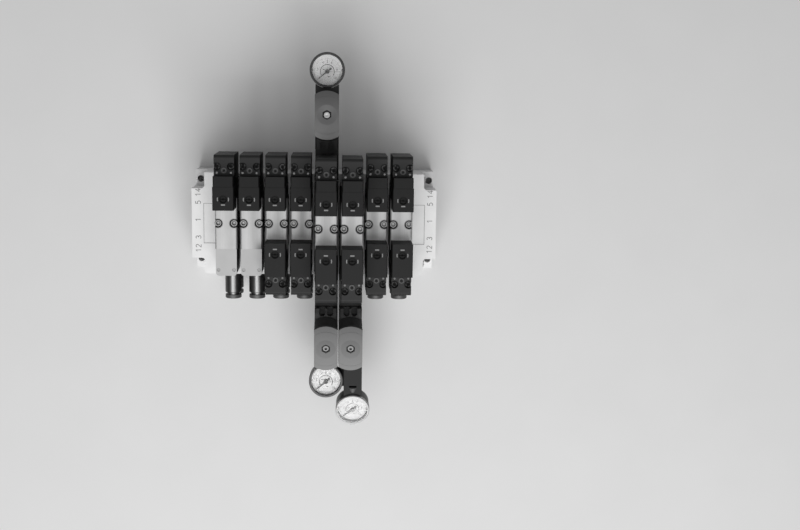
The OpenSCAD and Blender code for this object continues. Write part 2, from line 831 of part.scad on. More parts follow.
module regulator_plate(i, back, twin) {
    x = x_of(i);
    color("silver") difference() {
        translate([x, 0, base_z]) along_y(-plate_end_12, back) bevelled(plate_w, plate_h, body_bevel);
        valve_holes(x, base_z, plate_h);
        feed(x, -plate_end_12 - slack, port_1_y + passage_r);
        rod_x(passage_r, x + passage_x, x + port_x, port_1_y, base_z + feed_z);
        if (twin) {
            feed(x, port_4_y - passage_r, back + slack);
            rod_x(passage_r, x + passage_x, x + port_x, port_4_y, base_z + feed_z);
        }
    }
}

module regulator_plate_5() {
    regulator_plate(5, plate_end_14, true);
}

module regulator_plate_6() {
    regulator_plate(6, plate_end_back, false);
}

// Regulator bodies with the bonnet under the tilted cover. The outer end is hollowed around the gauge.
module regulator_body(reach) {
    difference() {
        union() {
            intersection() {
                across(plate_w) polygon([
                    [0, reg_foot], [reach, reg_foot], [reach, end_block_h],
                    [regulator_l - block_end, end_block_h], [regulator_l - deck_end, deck_h],
                    [wall_at, deck_h], [wall_at, step_h], [0, step_h]]);
                along_y(0, reach) bevelled(plate_w, deck_h, reg_bevel);
            }
            intersection() {
                translate([0, cover_at, cover_z]) rotate([-cover_tilt, 0, 0])
                    translate([0, 0, -cover_t - bonnet_l]) cylinder(r = bonnet_r, h = bonnet_l);
                translate([-plate_w / 2, 0, reg_foot + 6]) cube([plate_w, regulator_l, cover_z]);
            }
        }
        translate([0, cover_at, cover_z]) rotate([-cover_tilt, 0, 0])
            translate([0, 0, -cover_t - chamber_l]) cylinder(r = chamber_r, h = chamber_l + slack);
        rod_y(passage_r, port_x, -slack, chamber_at, feed_z);
        rod_z(passage_r, port_x, chamber_at, feed_z, chamber_z + 1);
        for (s = [-1, 1]) {
            rod_z(notch_r, s * notch_x, wall_at + notch_in, deck_h - notch_h, deck_h + slack);
            translate([s * notch_x - notch_r, wall_at - slack, deck_h - notch_h])
                cube([2 * notch_r, notch_in + slack, notch_h + slack]);
        }
        rod_y(stem_r + 0.1, 0, regulator_l - stem_l - 1, regulator_l + slack, gauge_z - stem_below);
        if (reach > regulator_l) rod_z(seat_r, 0, gauge_at, 0, end_block_h + slack);
    }
}

module regulator_bodies() {
    color([0.13, 0.13, 0.14]) for (k = [0:2])
        at_regulator(k) regulator_body(k < 2 ? regulator_l + ear_l : regulator_l);
}

// Tilted covers: a gently domed plate with a dish around the adjusting screw
module cover() {
    flat = cover_half - cover_end_r;
    difference() {
        intersection() {
            translate([0, 0, -cover_t]) linear_extrude(cover_t) intersection() {
                translate([-plate_w / 2, -cover_half]) square([plate_w, 2 * cover_half]);
                union() {
                    for (s = [-1, 1]) translate([0, s * flat]) circle(cover_end_r);
                    translate([-plate_w / 2, -flat]) square([plate_w, 2 * flat]);
                }
            }
            translate([0, 0, -dome_r]) sphere(dome_r, $fn = 400);
        }
        translate([0, 0, -cover_t - slack]) cylinder(r = adjuster_shank_r + 0.1, h = cover_t + slack);
        translate([0, 0, -dish_h - hex_pocket_h]) cylinder(r = hex_pocket_r, h = cover_t, $fn = 6);
        translate([0, 0, -dish_h]) cylinder(r1 = dish_floor_r, r2 = dish_r, h = dish_h);
        translate([0, 0, -groove_r * groove_r / dome_r / 2 - groove_h]) difference() {
            cylinder(r = groove_r + groove_w, h = slack);
            translate([0, 0, -slack]) cylinder(r = groove_r, h = 3 * slack);
        }
    }
}

module regulator_covers() {
    color("darkgray") for (k = [0:2]) at_cover(k) cover();
}

module adjusting_screw(k) {
    seat = 0.1 - dish_h - hex_pocket_h;
    color("silver") at_cover(k) difference() {
        union() {
            translate([0, 0, seat]) cylinder(r = adjuster_r, h = adjuster_head_h);
            translate([0, 0, seat - adjuster_l]) cylinder(r = adjuster_shank_r, h = adjuster_l + 0.5);
        }
        translate([0, 0, seat + 0.5]) cylinder(r = 1.3, h = adjuster_head_h, $fn = 6);
    }
}

// Adapter that carries the last gauge further out. Its neck passes beside the next gauge,
// its shelf lies below that gauge, and its end is hollowed around the gauge it carries.
module gauge_adapter() {
    start = regulator_l + side_gap;
    shelf_z = gauge_z - gauge_t - 0.6;
    lift = [sin(gauge_tilt), cos(gauge_tilt)];
    mouth = [adapter_end, tilted_mid[1] + seat_r * sin(gauge_tilt)];
    tip = mouth + adapter_ear * [cos(gauge_tilt), -sin(gauge_tilt)];
    foot = tip - (tip[1] - adapter_foot) / cos(gauge_tilt) * lift;
    shelf = tip - (tip[1] - shelf_z) / cos(gauge_tilt) * lift;
    color([0.1, 0.1, 0.11]) at_regulator(2) difference() {
        union() {
            translate([gauge_shift, 0, 0]) across(adapter_w) polygon([[start, adapter_foot],
                [start, adapter_top], tip + adapter_lip * lift, foot]);
            translate([gauge_shift - shelf_reach / 2, 0, 0]) across(adapter_w + shelf_reach)
                polygon([[start, adapter_foot], [start, shelf_z], shelf, foot]);
            rod_y(stem_r, 0, regulator_l - stem_l, start + 1, gauge_z - stem_below);
        }
        translate([gauge_shift, tilted_face[0], tilted_face[1]]) rotate([-gauge_tilt, 0, 0]) {
            translate([0, 0, -gauge_t - 10]) cylinder(r = seat_r, h = gauge_t + 20);
            rod_y(stem_r + 0.1, 0, -seat_r - stem_l - 1, -seat_r + 3, -stem_below);
        }
    }
}

// Gauges: case with bezel and stem, dial, lens and needle
module gauge_case(tab, pivot) {
    rim = gauge_r - bezel_w;
    difference() {
        union() {
            rotate_extrude() polygon([
                [0, -gauge_t], [gauge_r - 1.2, -gauge_t], [gauge_r - 0.4, -gauge_t + 0.8],
                [gauge_r - 0.4, -4.6], [gauge_r, -4.2], [gauge_r, -0.5], [gauge_r - 0.5, 0], [0, 0]]);
            rod_y(stem_r, 0, -seat_r - stem_l + 0.5, -gauge_r + 3, -stem_below);
            if (tab) translate([-tab_w / 2, gauge_r - 0.1 - tab_l, -1])
                cube([tab_w, tab_l, 1 + tab_rise]);
        }
        translate([0, 0, -lens_down - lens_t]) cylinder(r = rim, h = 4);
        translate([0, 0, -dial_down - dial_t]) cylinder(r = rim - 0.3, h = 6);
        translate([0, pivot, -dial_down - dial_t - 4]) cylinder(r = spindle_r + 0.1, h = 6);
    }
}

module gauge_cases() {
    color([0.2, 0.2, 0.21]) for (k = [0:2]) at_gauge(k) gauge_case(k == 2, pivot_y(k));
}

module gauge_dials() {
    color("white") for (k = [0:2]) at_gauge(k) translate([0, 0, -dial_down - dial_t]) difference() {
        cylinder(r = dial_r, h = dial_t);
        translate([0, pivot_y(k), -slack]) cylinder(r = spindle_r + 0.1, h = dial_t + 2 * slack);
    }
}

module gauge_lenses() {
    color("lightblue", 0.4) for (k = [0:2]) at_gauge(k)
        translate([0, 0, -lens_down - lens_t]) cylinder(r = gauge_r - bezel_w - 0.05, h = lens_t);
}

module gauge_needle(k) {
    rest = regulators[k][1] > 0 ? needle_rest : 360 - needle_rest;
    color("black") at_gauge(k) translate([0, pivot_y(k), 0]) {
        rotate(rest) translate([0, 0, -needle_down - needle_t]) linear_extrude(needle_t) {
            polygon([[-needle_tail, -needle_w * 0.4], [0, -needle_w / 2], [needle_tip, -0.15],
                [needle_tip, 0.15], [0, needle_w / 2], [-needle_tail, needle_w * 0.4]]);
            translate([-needle_tail, 0]) circle(tail_r);
        }
        translate([0, 0, -needle_down - hub_h]) cylinder(r = hub_r, h = hub_h);
        translate([0, 0, -needle_down - spindle_l]) cylinder(r = spindle_r, h = spindle_l);
    }
}

manifold_blocks();
end_plate_left();
end_plate_right();
seals();
tie_rods();
push_in_fittings();
blanking_plugs();
valve_body(1);  // valve_body_1
valve_body(2);  // valve_body_2
valve_body(3);  // valve_body_3
valve_body(4);  // valve_body_4
valve_body(5);  // valve_body_5
valve_body(6);  // valve_body_6
valve_body(7);  // valve_body_7
valve_body(8);  // valve_body_8
pilot_blocks();
return_caps();
return_spring(1);  // return_spring_1
return_spring(2);  // return_spring_2
solenoid_coils();
coil_armatures();
contact_pins();
valve_screws();
pilot_screws();
regulator_plate_5();
regulator_plate_6();
regulator_bodies();
regulator_covers();
gauge_adapter();
gauge_cases();
gauge_dials();
gauge_lenses();
spool(1);  // spool_1
spool(2);  // spool_2
spool(3);  // spool_3
spool(4);  // spool_4
spool(5);  // spool_5
spool(6);  // spool_6
spool(7);  // spool_7
spool(8);  // spool_8
override_14(1);  // override_14_1
override_14(2);  // override_14_2
override_14(3);  // override_14_3
override_14(4);  // override_14_4
override_14(5);  // override_14_5
override_14(6);  // override_14_6
override_14(7);  // override_14_7
override_14(8);  // override_14_8
override_12(3);  // override_12_3
override_12(4);  // override_12_4
override_12(5);  // override_12_5
override_12(6);  // override_12_6
override_12(7);  // override_12_7
override_12(8);  // override_12_8
adjusting_screw(0);  // adjusting_screw_1
adjusting_screw(1);  // adjusting_screw_2
adjusting_screw(2);  // adjusting_screw_3
gauge_needle(0);  // gauge_needle_1
gauge_needle(1);  // gauge_needle_2
gauge_needle(2);  // gauge_needle_3
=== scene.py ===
# %% [markdown]
# # A bank of directional control valves, dressed for its picture
# Eight slim valves stand side by side on one aluminium manifold between two end plates.
# Black pilot heads sit at the ends of their bright bodies, and three slim pressure
# regulators with round gauges reach out past them.
# The solid model gives every part its shape. This lesson gives each one its finish, adds
# the small printed and moulded marks, and then sets up the camera and the light.

# %% Load the solid model
import json
import math
import bmesh
import bpy
from mathutils import Matrix, Vector


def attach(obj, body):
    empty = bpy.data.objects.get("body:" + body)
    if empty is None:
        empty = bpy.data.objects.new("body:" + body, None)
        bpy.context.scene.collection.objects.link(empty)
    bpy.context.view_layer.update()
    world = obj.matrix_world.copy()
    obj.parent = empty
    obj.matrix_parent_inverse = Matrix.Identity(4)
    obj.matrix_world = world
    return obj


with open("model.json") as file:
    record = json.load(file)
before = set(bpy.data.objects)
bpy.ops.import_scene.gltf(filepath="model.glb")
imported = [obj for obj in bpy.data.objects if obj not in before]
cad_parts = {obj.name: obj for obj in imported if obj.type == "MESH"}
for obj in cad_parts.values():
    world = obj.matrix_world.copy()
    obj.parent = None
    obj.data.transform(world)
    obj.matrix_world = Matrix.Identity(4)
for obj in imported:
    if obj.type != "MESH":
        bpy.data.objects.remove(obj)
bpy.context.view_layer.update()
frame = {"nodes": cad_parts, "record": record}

# %% [markdown]
# ## Camera
# The picture is taken from almost a metre above the floor with a normal lens, so tall
# parts lean a little away from the point under the camera. The place and the turn come
# from matching the valves' overrides and two gauges by least squares.

# %% Make the camera
MM = 0.001
camera = bpy.data.objects.new("camera", bpy.data.cameras.new("camera"))
bpy.context.scene.collection.objects.link(camera)
bpy.context.scene.camera = camera
camera.data.sensor_width = 36
camera.data.lens = 51.84
camera.location = Vector((14.6, 111.3, 961.8)) * MM
camera.rotation_euler = [math.radians(a) for a in (-9.03, -3.24, 0.84)]
camera.data.clip_start = 0.05
camera.data.clip_end = 20
print("camera looks down from", round(camera.location.z, 3), "m")

# %% [markdown]
# ## Sums on sockets
# A finish is mostly arithmetic on fields such as height, noise or distance. Wrapping a
# socket in a small class lets that arithmetic be written as ordinary Python, and each
# operator adds one Math node. Every other kind of node comes from the single method
# `node`, which sets the node's own options first and then its sockets.

# %% Wrap a socket
class Field:
    """A socket of a node tree that can be used in sums like a number."""

    def __init__(self, tree, socket=None):
        self.tree = tree
        self.socket = socket

    def node(self, kind, settings=None, sockets=None, out=0):
        """Adds a node, sets its options, then its sockets, and wraps one output."""
        made = self.tree.nodes.new(kind)
        for name, value in (settings or {}).items():
            setattr(made, name, value)
        for name, value in (sockets or {}).items():
            if isinstance(value, Field):
                self.tree.links.new(value.socket, made.inputs[name])
            else:
                made.inputs[name].default_value = value
        return Field(self.tree, made.outputs[out])

    def math(self, operation, *others):
        """Adds one Math node on this field and up to two others."""
        inputs = dict(enumerate((self, *others)))
        return self.node("ShaderNodeMath", {"operation": operation}, inputs)

    def __add__(self, other):
        return self.math("ADD", other)

    __radd__ = __add__

    def __mul__(self, other):
        return self.math("MULTIPLY", other)

    __rmul__ = __mul__

    def __sub__(self, other):
        return self.math("SUBTRACT", other)

    def __rsub__(self, other):
        return self.node("ShaderNodeMath", {"operation": "SUBTRACT"}, {0: other, 1: self})

    def __truediv__(self, other):
        return self.math("DIVIDE", other)

    def __gt__(self, other):
        return self.math("GREATER_THAN", other)

    def __lt__(self, other):
        return self.math("LESS_THAN", other)

    def clamp(self):
        return self.node("ShaderNodeClamp", {}, {0: self})


print("operators ready: + - * / > <")

# %% [markdown]
# ## Building blocks shared by the finishes
# All finishes read the object's own coordinates, which here are metres in the frame of
# the solid model, so a grain of 0.3 mm stays 0.3 mm on every part. The first helpers start
# a finish and link fields to its shader. The next make noise of a given grain size, blend
# two greys, soften a step, and turn a height into a bump.

# %% Start a finish
def input_of(shader, word):
    """The shader's input whose name is the word with spaces, in any case."""
    return next(i for i in shader.inputs if i.name.lower() == word.replace("_", " "))


def finish(name, **constants):
    """Makes a material, sets the constant sockets of its shader and returns both."""
    material = bpy.data.materials.new(name)
    material.use_nodes = True
    shader = material.node_tree.nodes["Principled BSDF"]
    for word, value in constants.items():
        input_of(shader, word).default_value = value
    return material, shader


def place_of(material):
    """The object's own coordinates, in metres."""
    return Field(material.node_tree).node("ShaderNodeTexCoord", {}, {}, "Object")


def drive(shader, **fields):
    """Links fields to the shader's sockets."""
    for word, field in fields.items():
        field.tree.links.new(field.socket, input_of(shader, word))


# %% Grain and colour helpers
def grain(place, size_mm, detail=2.0, stretch=(1, 1, 1), roughness=0.5):
    """Noise whose features are about size_mm wide, stretched along an axis if asked."""
    scaled = place.node("ShaderNodeVectorMath", {"operation": "MULTIPLY"},
                        {0: place, 1: Vector(stretch) * 1000 / size_mm})
    return place.node("ShaderNodeTexNoise", {},
                      {"Vector": scaled, "Scale": 1.0, "Detail": detail, "Roughness": roughness})


def grey(tone):
    """The colour of one tone, from 0 for black to 1 for white."""
    return (tone, tone, tone, 1)


def blend(mask, first, second):
    """The colour first where the mask is 0 and second where it is 1."""
    first = first if isinstance(first, Field) else grey(first)
    second = second if isinstance(second, Field) else grey(second)
    return mask.node("ShaderNodeMix", {"data_type": "RGBA"}, {0: mask, 6: first, 7: second}, 2)


def ramp(field, low, high):
    """0 below low, 1 above high, smooth between."""
    return field.node("ShaderNodeMapRange", {"interpolation_type": "SMOOTHSTEP"},
                      {0: field, 1: low, 2: high})


def bump(height, depth_mm, strength=1.0):
    """A normal that follows the height field."""
    return height.node("ShaderNodeBump", {},
                       {"Height": height, "Distance": depth_mm * MM, "Strength": strength})


def axes(place):
    """The three coordinates of a place as fields of their own, in millimetres."""
    split = place.node("ShaderNodeSeparateXYZ", {}, {0: place})
    node = split.socket.node
    return [Field(place.tree, node.outputs[n]) * 1000 for n in range(3)]


print("helpers ready")

# %% [markdown]
# ## Cast aluminium
# The manifold and the end plates are die-cast aluminium with a blasted, pale grey
# surface. It is matt with a fine grain, slightly cloudy, and has small pits. It is only
# partly metallic here, because blasting makes it scatter light almost like paint.

# %% Cast aluminium finish
def cast_metal(name, tone, rough, dark=None):
    """Blasted cast metal, almost black where the field that dark makes says 1."""
    material, shader = finish(name, specular_ior_level=0.5)
    place = place_of(material)
    clouds = grain(place, 14, 3)
    fine = grain(place, 0.35, 3)
    pits = ramp(grain(place, 1.1, 1), 0.68, 0.78)
    metal = blend(clouds * 0.75 + fine * 0.25, tone * 0.88, tone * 1.1)
    drive(shader,
          base_color=blend(dark(place), metal, 0.02) if dark else metal,
          metallic=0.3 + clouds * 0.1,
          roughness=rough + fine * 0.12,
          normal=bump(fine * 0.6 - pits, 0.05, 0.5))
    return material


CAST = cast_metal("cast_aluminium", 0.62, 0.46)
PLATE = cast_metal("end_plate_grey", 0.8, 0.48)
print("cast finishes", CAST.name, PLATE.name)

# %% [markdown]
# ## Where a point lies in the row
# The valves repeat at one pitch, and the valves on sandwich plates stand higher. Several
# finishes need to know how far a point is from its valve's middle and how far it is above
# or below the top of its valve's metal body. The pitch and the heights are measured on the
# eight bodies of the solid model, so a finish follows the model when its sizes change.

# %% Measure the row of valves
def box_of(part):
    """The lowest and the highest corner of a part of the solid model, in millimetres."""
    solid = frame["nodes"][part]
    corners = [solid.matrix_world @ Vector(corner) / MM for corner in solid.bound_box]
    return [Vector([limit(corner[n] for corner in corners) for n in range(3)])
            for limit in (min, max)]


VALVES = 8
BODIES = [box_of("valve_body_%d" % (n + 1)) for n in range(VALVES)]
PITCH = (BODIES[-1][0].x - BODIES[0][0].x) / (VALVES - 1)
VALVE_Y = (BODIES[0][0].y + BODIES[0][1].y) / 2
BODY_TOP = BODIES[0][1].z
RAISED = [n for n, (low, high) in enumerate(BODIES) if high.z > BODY_TOP + 1]
RAISED_BY = BODIES[RAISED[0]][1].z - BODY_TOP
CAPPED = sum("override_12_%d" % (n + 1) not in frame["nodes"] for n in range(VALVES))
TWO_HEADS_X = (CAPPED - VALVES / 2) * PITCH


def valve_x(n):
    """The middle of a valve along X."""
    return (n - (VALVES - 1) / 2) * PITCH


print("pitch", round(PITCH, 3), "middle", round(VALVE_Y, 3), "body top", round(BODY_TOP, 3))
print("raised", RAISED, "by", round(RAISED_BY, 3), "with a return cap", CAPPED)

# %% Places in the row of valves
def in_row(place):
    """Distance from the valve's middle, the valve's number from 0, Y and height over its body."""
    x, y, z = axes(place)
    station = x / PITCH + VALVES / 2
    number = station.math("FLOOR")
    off_middle = (station - number - 0.5) * PITCH
    raised = near(number, sum(RAISED) / 2, 1)
    return off_middle, number, y, z - BODY_TOP - raised * RAISED_BY


def near(field, middle, half):
    """1 where the field lies within half of the middle, else 0."""
    return field.node("ShaderNodeMath", {"operation": "COMPARE"}, {0: field, 1: middle, 2: half})


def soft_bump(field, middle, half):
    """A smooth hump, 1 at the middle and near 0 beyond twice the half width."""
    off = (field - middle) / half
    return (off * off * -1).math("EXPONENT")


GAP_EDGE = 7.7
GAP_DEPTH = 0.9
ROW_HALF = 74.2


def in_gap(place):
    """1 on the flanks inside the narrow gaps between two valves, where little light gets in; the
    finishes paint shade there.
    """
    off_middle, number, y, above = in_row(place)
    x, y, z = axes(place)
    flank = (off_middle.math("ABSOLUTE") > GAP_EDGE) * (above < -GAP_DEPTH)
    return flank * near(x, 0.0, ROW_HALF)


print("gaps start", GAP_EDGE, "mm off a valve's middle")

# %% [markdown]
# ## Satin extruded aluminium
# The valve bodies and the sandwich plates are cut from an extruded bar, so their satin
# surface has fine lines along the valve. Soft stripes on their tops are a painted
# reflection of the lamps, and the stripes wander sideways from valve to valve like one wave
# under the whole row; this painted light is dimmed on some valves and raised on the first.
# Painted shade makes the pockets round the screws and the gaps between the valves almost
# black, and a soft dark ring runs round each pocket. One valve has a painted soft shade by
# its neighbour's head, and painted light makes the metal close to the heads on the port
# side a little paler.

# %% Satin aluminium finish
SCREW_X = 6.0
HEAD_R = 2.6
POCKET_R = 3.25
# Pitch, start and drift of the painted reflection stripes.
STRIPE_PITCH = 12.0
STRIPE_START, STRIPE_DRIFT = 3.2, 0.85
# Per-valve painted dimming of the bodies' light and stripes; a negative share brightens.
PAINTED_DIMMING = {0: -0.1, 3: 0.26, 6: 0.16}
SHADED_VALVE, SHADE_Y, SHADE_HALF = 1, -15.5, 5.5
TOP_EDGE = 0.12
# Where painted light starts to pale the metal near the port-side heads, and how far it runs.
LIGHT_START, LIGHT_LONG = -4.5, 6.0


def from_screws(off_middle, y):
    """Distance from the nearer of a valve's two captive screws."""
    side_x = off_middle.math("ABSOLUTE") - SCREW_X
    side_y = y - VALVE_Y
    return (side_x * side_x + side_y * side_y).math("SQRT")


def satin_metal(name, tone):
    """Satin extruded metal with painted reflection stripes, painted shade in pockets and gaps, and
    painted light near the port-side heads.
    """
    material, shader = finish(name)
    place = place_of(material)
    off_middle, number, y, above = in_row(place)
    # Painted reflection of the lamps, as stripes in the base colour.
    off_stripe = off_middle - (STRIPE_START - number * STRIPE_DRIFT)
    reflection_wave = (off_stripe * (2 * math.pi / STRIPE_PITCH)).math("COSINE")
    lines = grain(place, 0.16, 2, (1, 0.02, 1))
    long_lines = grain(place, 0.9, 2, (1, 0.01, 1))
    patches = grain(place, 9, 2)
    dimming = sum(near(number, n, 0.5) * share for n, share in PAINTED_DIMMING.items())
    level = 0.55 - reflection_wave * (0.16 + dimming * 0.8) - dimming * 0.6 + (patches - 0.5) * 0.2
    streaks = (lines - 0.5) * 0.4 + (long_lines - 0.5) * 0.3
    off_screw = from_screws(off_middle, y)
    # Painted shade in the pocket floors and in the gaps between the valves; a soft dark ring also
    # runs round each pocket's rim.
    pocket = near(off_screw, 0.0, POCKET_R) * (above < -TOP_EDGE)
    lip = soft_bump(off_screw, POCKET_R, 0.45)
    corner = ramp(off_middle, 0.5, 7.5) * soft_bump(y, SHADE_Y, SHADE_HALF)
    shade = near(number, SHADED_VALVE, 0.5) * corner
    x, y, z = axes(place)
    # Painted light on the metal close to the port-side heads, where they would shade it.
    painted_light = (x > TWO_HEADS_X) * ramp(LIGHT_START - y, 0, LIGHT_LONG)
    metal = blend((level + streaks).clamp(), tone * 0.5, tone * 1.1)
    metal = blend(painted_light * 0.75, metal, 0.95)
    metal = blend((lip * 0.85 + shade * 0.8).clamp(), metal, 0.06)
    drive(shader,
          base_color=blend(pocket.math("MAXIMUM", in_gap(place)), metal, 0.012),
          metallic=0.4 + patches * 0.1 - pocket * 0.3,
          roughness=0.3 + lines * 0.14 + patches * 0.06 + pocket * 0.3,
          normal=bump(lines, 0.012, 0.5))
    return material


SATIN = satin_metal("body_aluminium", 0.5)
# The return caps get the same painted shade on their flanks in the gaps.
CAP = cast_metal("cap_grey", 0.48, 0.5, dark=in_gap)
print("finishes", SATIN.name, CAP.name)

# %% [markdown]
# ## Moulded black plastic
# The pilot blocks, coils and regulators are glass-filled nylon from spark-eroded moulds.
# Their skin is an even, fine pebble, a little shinier on the high spots, with faint flow
# clouds. Painted light makes the connector ends of the coils, the side towards the ports
# and the funnels round the overrides a little paler. The seams are darker, and painted
# shade darkens the screw recesses and the middles of the overrides.

# %% Places on the heads
HEAD_RISE = box_of("pilot_blocks")[1].z - BODY_TOP - RAISED_BY
STEP_OUT = 37.3
STEP_UP = 13.5
STEP_BAND = 4
SEAM_OUT = 29.5
SEAM_HALF = 0.32
COIL_SCREW = (5.2, 44.1)
RECESS_R = 2.8


def from_coil_screws(off_middle, y):
    """Distance from the nearest of the four screws in a valve's coils."""
    side_x = off_middle.math("ABSOLUTE") - COIL_SCREW[0]
    side_y = (y - VALVE_Y).math("ABSOLUTE") - COIL_SCREW[1]
    return (side_x * side_x + side_y * side_y).math("SQRT")


def connector_end(place):
    """The outer step of a coil, which carries the plug, but not its screw recesses."""
    off_middle, number, y, above = in_row(place)
    outer = (y - VALVE_Y).math("ABSOLUTE") > STEP_OUT
    step = outer * (above < STEP_UP) * (above > STEP_UP - STEP_BAND)
    return step * (from_coil_screws(off_middle, y) > RECESS_R)


def seams_and_recess_shade(place):
    """The dark joint between a pilot block and its coil, and painted shade in the coil's screw
    recesses.
    """
    off_middle, number, y, above = in_row(place)
    dark_line = near(y - VALVE_Y, SEAM_OUT, SEAM_HALF)
    recess = near(from_coil_screws(off_middle, y), 0.0, RECESS_R + 0.15) * (above < STEP_UP)
    return dark_line.math("MAXIMUM", recess)


OVERRIDE_OFF = sum(corner.y for corner in box_of("override_14_1")) / 2 - VALVE_Y
FUNNEL_R = 2.7


def from_override(place):
    """Distance from the manual override of the head."""
    off_middle, number, y, above = in_row(place)
    side_y = (y - VALVE_Y).math("ABSOLUTE") - OVERRIDE_OFF
    return (off_middle * off_middle + side_y * side_y).math("SQRT")


def override_hole_shade(place):
    """Painted shade in the deep middle of a manual override."""
    return soft_bump(from_override(place), 0.0, 1.3)


# %% Black plastic finishes
def painted_port_light(place):
    """Painted light, 0.18 on the side of the valves that faces the tubes."""
    x, y, z = axes(place)
    return (y < VALVE_Y) * 0.18


def painted_pilot_light(place):
    """Painted light on the port side, and on the funnel round each override."""
    off_middle, number, y, above = in_row(place)
    funnel = soft_bump(from_override(place), FUNNEL_R, 0.7) * (above < HEAD_RISE - 0.2)
    return (painted_port_light(place) + funnel * 0.8).clamp()


def painted_coil_light(place):
    """Painted light on the connector end, and less on the whole port side."""
    return (connector_end(place) * 1.25).math("MAXIMUM", painted_port_light(place) * 0.7)


def moulded(name, tone, rough, pebble=0.45, depth=0.03, shine=0.3, paler=None, darker=None,
            pale=3.4):
    """Moulded plastic, paler or almost black where the fields made by these say 1."""
    material, shader = finish(name, specular_ior_level=shine, ior=1.5)
    place = place_of(material)
    skin = grain(place, pebble, 2)
    flow = grain(place, 11, 3)
    scuffs = ramp(grain(place, 2.4, 4, (1, 0.35, 1)), 0.62, 0.8)
    body = blend(flow * 0.7 + scuffs * 0.3, tone * 0.85, tone * 1.25)
    if paler:
        body = blend(paler(place), body, tone * pale)
    if darker:
        body = blend(darker(place), body, tone * 0.15)
    drive(shader,
          base_color=body,
          roughness=rough + skin * 0.1 - scuffs * 0.05,
          normal=bump(skin, depth, 0.6))
    return material


PILOT = moulded("black_plastic", 0.008, 0.45, shine=0.2, paler=painted_pilot_light, darker=seams_and_recess_shade)
COIL = moulded("coil_black", 0.008, 0.45, shine=0.2, paler=painted_coil_light, darker=seams_and_recess_shade)
OVERRIDE = moulded("override_grey", 0.026, 0.6, shine=0.1, darker=override_hole_shade)
SEAL = moulded("seal_rubber", 0.012, 0.62, 0.8, 0.02)
print("moulded finishes", PILOT.name, COIL.name, OVERRIDE.name, SEAL.name)

# %% [markdown]
# ## Regulators and their covers
# The regulators are moulded in the same black nylon, and painted light pales the decks in
# front of the two covers on the port side, most where a cover overhangs them. The covers
# are a softer grey plastic. Each is domed, and painted shading makes it paler towards the
# ports, while painted shade keeps a hexagonal pocket round its adjusting screw dark.

# %% Regulator and cover finishes
COVER_X = valve_x(RAISED[0])
REAR_COVER_Y, FRONT_COVER_Y = 87.2, -90.9
COVER_TILT = 12.0
COVER_SHADE_RATE = 0.028
POCKET_HALF = 3.2
DECK_EDGE, DECK_LONG, DECK_FOOT = -58.0, 30, 60
OVERHANG = (8, 12)
ADAPTER_EDGE = -104


def deck_painted_light(place):
    """Painted light, near 1 on the decks of the regulators over the ports, most where a cover
    overhangs and would shade them.
    """
    x, y, z = axes(place)
    deck = (y < DECK_EDGE) * (y > DECK_EDGE - DECK_LONG) * (z > DECK_FOOT)
    return deck * (0.2 + ramp(DECK_EDGE - y, *OVERHANG) * 0.6)


def adapter_side(place):
    """The adapter under the outermost gauge, which stays darker than the decks."""
    x, y, z = axes(place)
    return (y < ADAPTER_EDGE) * 0.5


def from_cover(place):
    """How far a point is from the middle of its cover, along X and along Y."""
    x, y, z = axes(place)
    middle_y = (y > 0) * (REAR_COVER_Y - FRONT_COVER_Y) + FRONT_COVER_Y
    return x - COVER_X - (x > PITCH) * PITCH, y - middle_y


def cover_finish(name, tone):
    """Grey plastic with painted shading that pales towards the ports, and painted shade in a
    hexagonal pocket.
    """
    material, shader = finish(name, specular_ior_level=0.4, ior=1.5)
    place = place_of(material)
    off_x, off_y = from_cover(place)
    along = off_y / math.cos(math.radians(COVER_TILT))
    across = off_x.math("ABSOLUTE")
    slanted = along.math("ABSOLUTE") * math.cos(math.pi / 6) + across * math.sin(math.pi / 6)
    # Painted shade in the hexagonal pocket round the adjusting screw.
    pocket = slanted.math("MAXIMUM", across) < POCKET_HALF
    skin = grain(place, 0.6, 2)
    clouds = grain(place, 9, 3)
    # Painted shading of the dome: paler towards the ports.
    painted_gradient = 0.5 - along * COVER_SHADE_RATE + (clouds - 0.5) * 0.12
    plastic = blend(painted_gradient.clamp(), tone * 0.62, tone * 1.38)
    drive(shader,
          base_color=blend(pocket, plastic, 0.008),
          roughness=0.44 + skin * 0.1,
          normal=bump(skin, 0.02, 0.6))
    return material


REGULATOR = moulded("regulator_black", 0.008, 0.42, paler=deck_painted_light, darker=adapter_side,
                    pale=12)
COVER = cover_finish("cover_grey", 0.18)
print("regulator finishes", REGULATOR.name, COVER.name)

# %% [markdown]
# ## Small metal parts
# Zinc-plated screws, tinned contacts, spring steel and nickel-plated brass are all bare
# metal. They differ in how bright they are and how sharply they mirror. The screws down
# in the coils are almost black, with thin broken rings of painted glint, while the two in
# each return cap stay grey. The studs between the contacts are dull, with painted shade in
# their sockets. Painted shade also outlines the sockets of the captive and adjusting
# screws, and the first adjusting screw is a brighter copy with painted light.

# %% Bare metal finishes
SOCKET_R = 1.45


def bare_metal(name, tone, rough, size=0.3, dark=None, dark_tone=0.05):
    """Bare metal, darkened where the field that dark makes from the place is 1."""
    material, shader = finish(name)
    place = place_of(material)
    fine = grain(place, size, 2)
    stains = grain(place, 3.5, 3)
    metal = blend(stains, tone * 0.84, tone * 1.06)
    mask = dark(place) if dark else None
    drive(shader,
          base_color=blend(mask, metal, dark_tone) if dark else metal,
          metallic=0.9 + fine * 0.1,
          roughness=rough + fine * 0.12 + stains * 0.06,
          normal=bump(fine, 0.008, 0.4))
    return material


